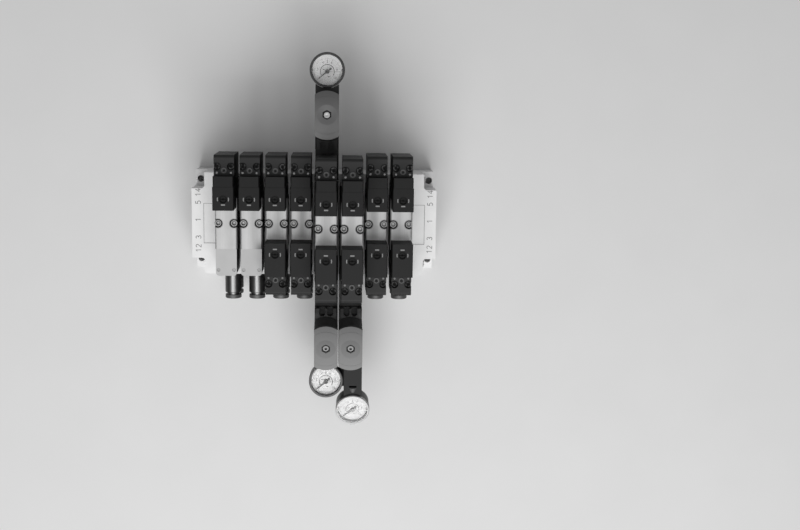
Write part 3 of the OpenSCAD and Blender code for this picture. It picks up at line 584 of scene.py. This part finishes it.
def coil_screws(place):
    """1 on the screws down in the coils except thin, broken rings that stay a little lighter as
    painted glints; cap screws stay bright.
    """
    x, y, z = axes(place)
    off_middle, number, y, above = in_row(place)
    ring = soft_bump(from_coil_screws(off_middle, y), 1.7, 0.4)
    glint_breaks = ramp(grain(place, 1.6, 1), 0.42, 0.58)
    in_cap = (x < TWO_HEADS_X) * (y < 0)
    return (1 - in_cap) * (1 - ring * glint_breaks * (0.14 + (y > 0) * 0.14))


def hex_socket_shade(place):
    """Painted shade on the outline of the hexagon socket in each captive screw and round the
    head's edge.
    """
    off_middle, number, y, above = in_row(place)
    off_screw = from_screws(off_middle, y)
    return (soft_bump(off_screw, SOCKET_R, 0.4) * 0.9 + (off_screw > HEAD_R - 0.3)).clamp()


STUD_OUT = 41.1
STUD_HOLE_R = 0.95


def studs(place):
    """The centre stud of each coil, with painted shade in its socket, and painted shade on the
    pins on the port side.
    """
    off_middle, number, y, above = in_row(place)
    side_y = (y - VALVE_Y).math("ABSOLUTE") - STUD_OUT
    off_stud = (off_middle * off_middle + side_y * side_y).math("SQRT")
    stud = near(off_middle, 0.0, 2.5)
    pins_in_shade = (1 - stud) * (y < VALVE_Y) * 0.5
    return stud * (0.72 + (off_stud < STUD_HOLE_R) * 0.26) + pins_in_shade


def adjuster_socket_shade(place):
    """Painted shade in the small socket of each adjusting screw."""
    off_x, off_y = from_cover(place)
    return 1 - ramp((off_x * off_x + off_y * off_y).math("SQRT"), 0.5, 1.1)


ZINC = bare_metal("zinc_steel", 0.56, 0.3)
STEEL = bare_metal("spring_steel", 0.5, 0.24)
TIN = bare_metal("tinned_contact", 0.24, 0.34, dark=studs, dark_tone=0.01)
CAPTIVE = bare_metal("captive_steel", 0.35, 0.36, dark=hex_socket_shade, dark_tone=0.02)
BLACK_SCREW = bare_metal("blackened_steel", 0.3, 0.42, dark=coil_screws, dark_tone=0.008)
ADJUSTER = bare_metal("adjuster_steel", 0.26, 0.5, dark=adjuster_socket_shade, dark_tone=0.06)
# A brighter copy of the adjuster finish, painted light for the first adjusting screw.
PAINTED_LIT_ADJUSTER = bare_metal("adjuster_painted_light", 0.9, 0.4)
METALS = (ZINC, STEEL, TIN, CAPTIVE, BLACK_SCREW, ADJUSTER, PAINTED_LIT_ADJUSTER)
print("metal finishes", *(metal.name for metal in METALS))

# %% [markdown]
# ## Push-in fittings
# A push-in fitting is a turned, nickel-plated brass body with a dark plastic release
# collar at its mouth. Both belong to one solid, so the finish picks metal or plastic by
# how far a point stands out from the manifold. Lathe rings run round the fitting, which
# are lines across its axis. A bright line and a thin dark line along each fitting are a
# painted reflection.

# %% Fitting finish
PORT_FACE = box_of("manifold_blocks")[0].y
METAL_LONG = 17.9
COLLAR_AT = PORT_FACE - METAL_LONG
PORT_X = 1.5


def fitting_finish(name):
    """Turned, plated brass with a painted reflection along it, a bright line with a thin dark line
    in it, and a plastic collar.
    """
    material, shader = finish(name)
    place = place_of(material)
    off_middle, number, y, above = in_row(place)
    collar = y < COLLAR_AT
    off_axis = off_middle - PORT_X
    rings = grain(place, 0.22, 1, (0.05, 1, 0.05))
    stains = grain(place, 4, 2)
    # Painted reflection along the fitting: a bright line with a thin dark line in it.
    painted_sheen = soft_bump(off_axis, -0.2, 2.3)
    dark_line = soft_bump(off_axis, 0.9, 0.3)
    metal = blend((painted_sheen + stains * 0.2 - dark_line * 0.5).clamp(), 0.08, 0.34)
    drive(shader,
          base_color=blend(collar, metal, 0.06 + painted_sheen * 0.1),
          metallic=1 - collar,
          roughness=0.3 + stains * 0.08 + collar * 0.15,
          normal=bump(rings, 0.01, 0.35))
    return material


NICKEL = fitting_finish("nickel_brass")
print("fitting collars start at y =", round(COLLAR_AT, 3), "mm")

# %% [markdown]
# ## Gauges
# A small gauge has a dark case, a white dial with printed marks, a needle and a clear
# plastic lens. The case of the last gauge has a bright ring, so its finish looks at the
# height above that gauge's tilted face, and painted light makes the inner wall of its well
# as bright. Painted light also makes the ring of the level gauge on the port side paler
# than the other's. The lens is clear and lets the light of the lamps through, because a
# lens that casts a shadow would grey the dial.

# %% Gauge places
GAUGES = [
    ((COVER_X, 120.3, 69.0), 0.0),
    ((COVER_X, -124.0, 69.0), 0.0),
    ((30.9, -148.23, 67.7), 18.0),
]


def gauge_matrix(index):
    """The place of a gauge's face, with its dial's twelve o'clock towards +Y."""
    place, tilt = GAUGES[index]
    return Matrix.Translation(Vector(place) * MM) @ Matrix.Rotation(math.radians(tilt), 4, "X")


def gauge_up(index):
    """The way that a gauge faces."""
    return gauge_matrix(index).to_3x3() @ Vector((0, 0, 1))


for n in range(len(GAUGES)):
    print("gauge", n + 1, "faces", [round(v, 2) for v in gauge_up(n)])

# %% Gauge finishes
LAST = len(GAUGES) - 1
RIM_DOWN, WELL_DOWN = 1.6, 4.2
CASE_REACH, WELL_REACH = 18.5, 12.8
RING_FOOT = 68.0


def gauge_case_finish(name):
    """A black case, with a paler ring on the level gauges, more so by painted light on the port
    side, and a bright one on the last, whose well wall gets painted light.
    """
    material, shader = finish(name, specular_ior_level=0.5)
    place = place_of(material)
    middle, up = gauge_matrix(LAST).translation, gauge_up(LAST)
    from_middle = place.node("ShaderNodeVectorMath", {"operation": "SUBTRACT"},
                             {0: place, 1: middle})
    height = place.node("ShaderNodeVectorMath", {"operation": "DOT_PRODUCT"},
                        {0: from_middle, 1: up}, "Value")
    reach = place.node("ShaderNodeVectorMath", {"operation": "LENGTH"}, {0: from_middle}, "Value")
    in_well = reach < WELL_REACH * MM
    on_rim = height > -RIM_DOWN * MM
    case = (height > -WELL_DOWN * MM) * (reach < CASE_REACH * MM)
    # Painted light: the inner wall of the last gauge's well is made as bright as its rim.
    bright = case * on_rim.math("MAXIMUM", in_well)
    x, y, z = axes(place)
    # Painted light: the ring of the port-side gauge is paler than the other's.
    ring = (z > RING_FOOT) * (1 - bright) * (0.35 + (y < 0) * 0.65)
    skin = grain(place, 0.4, 2)
    dark = blend(ring, 0.008, 0.1)
    drive(shader,
          base_color=blend(bright, dark, 0.46),
          metallic=bright * 0.8,
          roughness=0.36 + skin * 0.1 - bright * 0.08,
          normal=bump(skin, 0.02, 0.4))
    return material


def dial_finish(name):
    """White printed sheet, slightly cloudy."""
    material, shader = finish(name, specular_ior_level=0.3)
    place = place_of(material)
    paper = grain(place, 0.5, 3)
    clouds = grain(place, 7, 2)
    drive(shader,
          base_color=blend(paper * 0.5 + clouds * 0.5, 0.44, 0.52),
          roughness=0.5 + paper * 0.1)
    return material


CASE = gauge_case_finish("gauge_case_dark")
DIAL = dial_finish("dial_white")
NEEDLE = moulded("needle_black", 0.05, 0.4, 0.3, 0.005)
# A paler grey for the needle and the dial marks of the last gauge.
PALE_GREY = moulded("pale_grey", 0.24, 0.4, 0.3, 0.005)
print("gauge finishes", CASE.name, DIAL.name, NEEDLE.name, PALE_GREY.name)

# %% Clear lens
def lens_finish(name):
    """Clear plastic that casts no shadow."""
    material, shader = finish(name, transmission_weight=1.0, ior=1.22, roughness=0.02)
    shader.inputs["Base Color"].default_value = grey(0.97)
    start = Field(material.node_tree)
    glass = Field(start.tree, shader.outputs[0])
    clear = start.node("ShaderNodeBsdfTransparent")
    lamp_ray = start.node("ShaderNodeLightPath", {}, {}, "Is Shadow Ray")
    mixed = start.node("ShaderNodeMixShader", {}, {0: lamp_ray, 1: glass, 2: clear})
    output = start.tree.nodes["Material Output"]
    start.tree.links.new(mixed.socket, output.inputs["Surface"])
    return material


LENS = lens_finish("lens_clear")
print("lens", LENS.name)

# %% [markdown]
# ## Hand the finishes out
# Each part of the solid model already names the finish it wants, so its slot is swapped
# for the one made here. A few parts share a material in the record but look different in
# their places, and get a finish of their own.

# %% Assign the finishes
FINISHES = {m.name.split(".")[0]: m for m in (
    CAST, PLATE, CAP, SATIN, PILOT, COIL, REGULATOR, COVER, OVERRIDE, SEAL, ZINC, STEEL, TIN,
    NICKEL, CASE, DIAL, NEEDLE, LENS)}
EXCEPTIONS = {"pilot_screws": BLACK_SCREW, "valve_screws": CAPTIVE, "gauge_needle_3": PALE_GREY,
              "adjusting_screw_1": PAINTED_LIT_ADJUSTER, "adjusting_screw_2": ADJUSTER,
              "adjusting_screw_3": ADJUSTER}
SLOT_OF = {part: row["slot"] for row in frame["record"]["materials"]
           for part in row.get("nodes", [])}
missing = []
for part, solid in frame["nodes"].items():
    for holder in solid.material_slots:
        wanted = holder.material.name.split(".")[0] if holder.material else SLOT_OF.get(part)
        if part in EXCEPTIONS:
            holder.material = EXCEPTIONS[part]
        elif wanted in FINISHES:
            holder.material = FINISHES[wanted]
        else:
            missing.append((part, wanted))
print("finishes given to", len(frame["nodes"]) - len(missing), "parts, missing", missing)

# %% [markdown]
# ## Printed and moulded marks
# Numerals, dial marks, label frames and the marks round the overrides are all strokes: a
# flat ribbon with bevelled edges that follows a path. A numeral is a few such paths in a
# cell one unit high.

# %% Strokes along a path
def arc(mid, radii, start, end, steps=12):
    """Points on an arc between two angles in degrees."""
    turns = [math.radians(start + (end - start) * n / steps) for n in range(steps + 1)]
    return [(mid[0] + radii[0] * math.cos(a), mid[1] + radii[1] * math.sin(a)) for a in turns]


def stroke(shape, place, path, width, rise):
    """Adds a ribbon with bevelled edges along a flat path, in millimetres, to a bmesh."""
    points = [Vector(p) for p in path]
    closed = (points[0] - points[-1]).length < 1e-6
    if closed:
        points.pop()
    count, rings = len(points), []
    for n, point in enumerate(points):
        before = points[n - 1] if closed or n else None
        after = points[(n + 1) % count] if closed or n < count - 1 else None
        out = (after - point).normalized() if after else (point - before).normalized()
        into = (point - before).normalized() if before else out
        side = Vector((-into.y - out.y, into.x + out.x)).normalized()
        side /= max(0.5, side.dot(Vector((-into.y, into.x))))
        reach = [(width / 2, 0), (width / 2 - rise / 2, rise), (rise / 2 - width / 2, rise),
                 (-width / 2, 0)]
        rings.append([shape.verts.new(place @ (Vector((*(point + side * w), h)) * MM))
                      for w, h in reach])
    pairs = zip(rings, rings[1:] + rings[:1]) if closed else zip(rings, rings[1:])
    for first, second in pairs:
        for k in range(4):
            shape.faces.new((first[k], first[(k + 1) % 4], second[(k + 1) % 4], second[k]))
    if not closed:
        shape.faces.new(rings[0])
        shape.faces.new(rings[-1][::-1])


DIGITS = {
    "0": [arc((0.3, 0.5), (0.27, 0.5), 0, 360, 24)],
    "1": [[(0.08, 0.76), (0.34, 1.0), (0.34, 0.0)]],
    "2": [arc((0.3, 0.72), (0.26, 0.28), 165, -35) + [(0.04, 0.0), (0.58, 0.0)]],
    "3": [arc((0.28, 0.75), (0.25, 0.25), 150, -90), arc((0.28, 0.25), (0.29, 0.25), 90, -150)],
    "4": [[(0.45, 0.0), (0.45, 1.0), (0.02, 0.3), (0.62, 0.3)]],
    "5": [[(0.54, 1.0), (0.12, 1.0), (0.08, 0.56)] + arc((0.28, 0.31), (0.28, 0.31), 120, -145)],
    "6": [[(0.46, 1.0), (0.12, 0.5)], arc((0.3, 0.3), (0.26, 0.3), 0, 360, 20)],
    "8": [arc((0.3, 0.75), (0.22, 0.25), 0, 360, 20), arc((0.3, 0.25), (0.28, 0.25), 0, 360, 20)],
}


DIGIT_ADVANCE, DIGIT_SPACE = 0.86, 0.26


def numeral(text, height):
    """The paths of a number, centred on the origin."""
    start = -(len(text) * DIGIT_ADVANCE - DIGIT_SPACE) / 2
    return [[((x + start + n * DIGIT_ADVANCE) * height, (y - 0.5) * height) for x, y in path]
            for n, digit in enumerate(text) for path in DIGITS[digit]]


print("digits ready:", "".join(DIGITS))

# %% Pieces that ride on the bank
def bank_piece(name, shape, material):
    """Turns a bmesh into a piece of the bank with one finish, and frees the bmesh."""
    bmesh.ops.recalc_face_normals(shape, faces=shape.faces)
    mesh = bpy.data.meshes.new(name)
    shape.to_mesh(mesh)
    shape.free()
    piece = bpy.data.objects.new(name, mesh)
    bpy.context.scene.collection.objects.link(piece)
    mesh.materials.append(material)
    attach(piece, "valve_bank")
    print(name, len(mesh.polygons), "faces")
    return piece


def marks(name, strokes, material):
    """Makes one piece of many strokes, each with its place, path, width and rise."""
    shape = bmesh.new()
    for place, path, width, rise in strokes:
        stroke(shape, place, path, width, rise)
    return bank_piece(name, shape, material)


def heads():
    """The number of each valve with a head, that head's side (1 is the 14 side) and its foot."""
    for n in range(VALVES):
        foot = BODY_TOP + (RAISED_BY if n in RAISED else 0)
        for side in (1, -1) if n >= CAPPED else (1,):
            yield n, side, foot


print("heads", len(list(heads())))

# %% Inks
PALE_INK = moulded("pale_ink", 0.28, 0.45, 0.3, 0.005)
DARK_INK = moulded("dark_ink", 0.06, 0.5, 0.3, 0.005)
# Dark strokes on the end plates, painted shade of the cast numerals and of the label field's edge.
PLATE_MARK_SHADE = moulded("plate_mark_shade", 0.2, 0.5, 0.3, 0.005)
print("inks", PALE_INK.name, DARK_INK.name, PLATE_MARK_SHADE.name)

# %% [markdown]
# ## Marks round the overrides
# Each manual override sits in a funnel with a moulded mark on its left and right and a
# short bar on the side of the metal body.

# %% Override marks
MARK_R, MARK_WIDTH, MARK_RISE, MARK_TURN = 4.1, 0.75, 0.08, 19
BAR_HALF, BAR_WIDTH = 1.5, 1.0


def flat_place(x, y, z, turn=0):
    """A place on a level face, turned about Z by some degrees."""
    return Matrix.Translation(Vector((x, y, z)) * MM) @ Matrix.Rotation(math.radians(turn), 4, "Z")


override_strokes = []
for n, side, foot in heads():
    place = flat_place(valve_x(n), VALVE_Y + side * OVERRIDE_OFF, foot + HEAD_RISE)
    for facing in (0, 180):
        bow = arc((0, 0), (MARK_R, MARK_R), facing - MARK_TURN, facing + MARK_TURN, 8)
        override_strokes.append((place, bow, MARK_WIDTH, MARK_RISE))
    bar = -side * MARK_R
    override_strokes.append((place, [(-BAR_HALF, bar), (BAR_HALF, bar)], BAR_WIDTH, MARK_RISE))
OVERRIDE_MARKS = marks("override_marks", override_strokes, PALE_INK)

# %% [markdown]
# ## Square inner corners of the heads
# The moulded heads are rounded at their outer ends, while the end that overhangs the
# metal body is almost square. Small blocks with one hollow side fill those corners.

# %% Head corners
HEAD_HALF = box_of("pilot_blocks")[1].x - valve_x(VALVES - 1)
HEAD_END = 12.1
HEAD_ROUND = 2.4
HEAD_BEVEL = 0.6
CORNER_R = 0.5
BELOW_TOP = 0.01

CORNER_PLAN = arc((HEAD_HALF - HEAD_ROUND, HEAD_END + HEAD_ROUND), (HEAD_ROUND, HEAD_ROUND),
                  0, -90, 8)
CORNER_PLAN += arc((HEAD_HALF - CORNER_R, HEAD_END + CORNER_R), (CORNER_R, CORNER_R), -90, 0, 3)


def corner_block(shape, middle_x, side, hand, foot):
    """Adds the block in one corner of a head: hand is its side along X, side that along Y."""
    levels = ((foot, HEAD_HALF), (foot + HEAD_RISE - HEAD_BEVEL, HEAD_HALF),
              (foot + HEAD_RISE - BELOW_TOP, HEAD_HALF - HEAD_BEVEL))
    rings = []
    for z, limit in levels:
        ring = [(middle_x + hand * min(x, limit), VALVE_Y + side * y, z) for x, y in CORNER_PLAN]
        rings.append([shape.verts.new(Vector(point) * MM) for point in ring])
    for lower, upper in zip(rings, rings[1:]):
        for k in range(len(CORNER_PLAN)):
            shape.faces.new((lower[k - 1], lower[k], upper[k], upper[k - 1]))
    shape.faces.new(rings[0])
    shape.faces.new(rings[-1])


corner_shape = bmesh.new()
for n, side, foot in heads():
    for hand in (1, -1):
        corner_block(corner_shape, valve_x(n), side, hand, foot)
HEAD_CORNERS = bank_piece("head_corners", corner_shape, PILOT)

# %% [markdown]
# ## Numerals and label frames on the end plates
# The end plates name their ports 14, 5, 1, 3 and 12, to be read towards the 14 side. Beside
# the numerals a thin line frames the shallow field for a label, which is left bare. The
# grey of these strokes is painted shade of the cast numerals and of the field's edge.

# %% End plate marks
PLATE_LOW, PLATE_HIGH = box_of("end_plate_right")
PLATE_TOP = PLATE_HIGH.z
NUMERAL_X = PLATE_HIGH.x - 5.0
NUMERALS = {"14": 24.4, "5": 16.5, "1": 2.9, "3": -11.0, "12": -19.7}
NUMERAL_HIGH, NUMERAL_WIDTH, NUMERAL_RISE = 4.0, 0.5, 0.06
LABEL_X, LABEL_HALF = (PLATE_LOW.x + 1.0, PLATE_LOW.x + 10.7), 15.7
FRAME_WIDTH, FRAME_RISE = 0.28, 0.03

plate_strokes = []
for x in (-NUMERAL_X, NUMERAL_X):
    for text, y in NUMERALS.items():
        place = flat_place(x, y, PLATE_TOP, 90)
        for path in numeral(text, NUMERAL_HIGH):
            plate_strokes.append((place, path, NUMERAL_WIDTH, NUMERAL_RISE))
for side in (-1, 1):
    inner, outer = (side * v for v in LABEL_X)
    label_frame = [(inner, -LABEL_HALF), (outer, -LABEL_HALF), (outer, LABEL_HALF),
                   (inner, LABEL_HALF), (inner, -LABEL_HALF)]
    plate_strokes.append((flat_place(0, 0, PLATE_TOP), label_frame, FRAME_WIDTH, FRAME_RISE))
PLATE_MARKS = marks("end_plate_marks", plate_strokes, PLATE_MARK_SHADE)

# %% [markdown]
# ## Dials
# Each dial has a scale from 0 to 10 round a needle whose pivot sits a little below the
# middle, an inner ring of its own, a long mark at the top and small stops at the rim. A
# thin line runs from the pivot to the right, and two short dashes lie near it.

# %% Dial marks
DIAL_DOWN = 3.4
PIVOT_DOWN = 1.2
SCALE_START, SCALE_SWEEP = 219.0, 258.0
SCALE_R, TICK_INNER = 10.2, {10: 9.0, 5: 9.5, 1: 9.8}
TICK_WIDTH = {10: 0.3, 5: 0.3, 1: 0.16}
NUMBER_R, NUMBER_HIGH, NUMBER_WIDTH = 7.6, 1.5, 0.24
RING_R, RING_START, RING_END, RING_WIDTH = 5.3, 214, -34, 0.5
STOP_X, STOP_HALF, STOP_WIDTH = 11.15, 0.8, 0.6
TOP_MARK = [(0, 6.4), (0, 8.8)], 0.4
RIGHT_LINE = [(2.2, 0), (10.6, 0)], 0.18
LEFT_DASH = [(-3.6, 1.6), (-2.2, 1.6)], 0.6
LOWER_DASH = [(0.3, -3.9), (2.0, -3.9)], 0.6
INK_RISE = 0.03


def on_scale(share, radius):
    """The point at a share of the scale's sweep."""
    turn = math.radians(SCALE_START - SCALE_SWEEP * share)
    return radius * math.cos(turn), radius * math.sin(turn)


def dial_paths():
    """Each path of a dial with its width, and the numbers 0 to 10."""
    yield arc((0, 0), (RING_R, RING_R), RING_START, RING_END, 40), RING_WIDTH
    for k in range(51):
        step = next(step for step in TICK_INNER if k % step == 0)
        tick = [on_scale(k / 50, radius) for radius in (TICK_INNER[step], SCALE_R)]
        yield tick, TICK_WIDTH[step]
    for k in range(6):
        spot_x, spot_y = on_scale(k / 5, NUMBER_R)
        for path in numeral(str(2 * k), NUMBER_HIGH):
            yield [(x + spot_x, y + spot_y) for x, y in path], NUMBER_WIDTH
    for x in (-STOP_X, STOP_X):
        yield [(x, PIVOT_DOWN - STOP_HALF), (x, PIVOT_DOWN + STOP_HALF)], STOP_WIDTH
    yield from (TOP_MARK, RIGHT_LINE, LEFT_DASH, LOWER_DASH)


for n in range(len(GAUGES)):
    place = gauge_matrix(n) @ Matrix.Translation(Vector((0, -PIVOT_DOWN, -DIAL_DOWN)) * MM)
    strokes = [(place, path, width, INK_RISE) for path, width in dial_paths()]
    marks("dial_marks_%d" % (n + 1), strokes, PALE_GREY if n == LAST else DARK_INK)

# %% [markdown]
# ## Light and floor
# The bank lies on a plain pale floor under soft studio light. One large soft lamp hangs
# beyond the port side, which makes the far sides dark and the tilted covers light, and a
# wide panel overhead gives the satin metal something bright to mirror.

# %% Lamps
AIM = (0, 0, 0.06)


def panel_lamp(name, place, size, watts):
    """A rectangular lamp that shines at the middle of the bank."""
    lamp = bpy.data.lights.new(name, "AREA")
    lamp.shape = "RECTANGLE"
    lamp.size, lamp.size_y = size
    lamp.energy = watts
    holder = bpy.data.objects.new(name, lamp)
    holder.location = place
    holder.rotation_euler = (Vector(AIM) - Vector(place)).to_track_quat("-Z", "Y").to_euler()
    bpy.context.scene.collection.objects.link(holder)
    return holder


key = panel_lamp("key_lamp", (0.05, -0.95, 1.25), (1.2, 0.7), 12)
top = panel_lamp("top_panel", (0.0, -0.3, 1.55), (1.3, 1.0), 8)
for lamp in (key, top):
    print(lamp.name, lamp.data.energy, "W")

# %% World and floor
world = bpy.data.worlds.new("room")
bpy.context.scene.world = world
world.use_nodes = True
world.node_tree.nodes["Background"].inputs["Color"].default_value = grey(1.0)
world.node_tree.nodes["Background"].inputs["Strength"].default_value = 0.17

FLOOR_HALF = 6
FLOOR_TONES = (0.8, 0.84)
floor_mesh = bpy.data.meshes.new("floor")
corners = [(x * FLOOR_HALF, y * FLOOR_HALF, 0) for x, y in ((-1, -1), (1, -1), (1, 1), (-1, 1))]
floor_mesh.from_pydata(corners, [], [(0, 1, 2, 3)])
floor = bpy.data.objects.new("floor", floor_mesh)
floor.location.z = -0.2 * MM
bpy.context.scene.collection.objects.link(floor)
floor_finish, floor_shader = finish("floor_finish", roughness=0.9, specular_ior_level=0.1)
floor_place = place_of(floor_finish)
drive(floor_shader, base_color=blend(grain(floor_place, 60, 3), *FLOOR_TONES))
floor_mesh.materials.append(floor_finish)
print("floor tones", FLOOR_TONES)

# %% View settings
bpy.context.scene.view_settings.view_transform = "Standard"
print("view transform", bpy.context.scene.view_settings.view_transform)
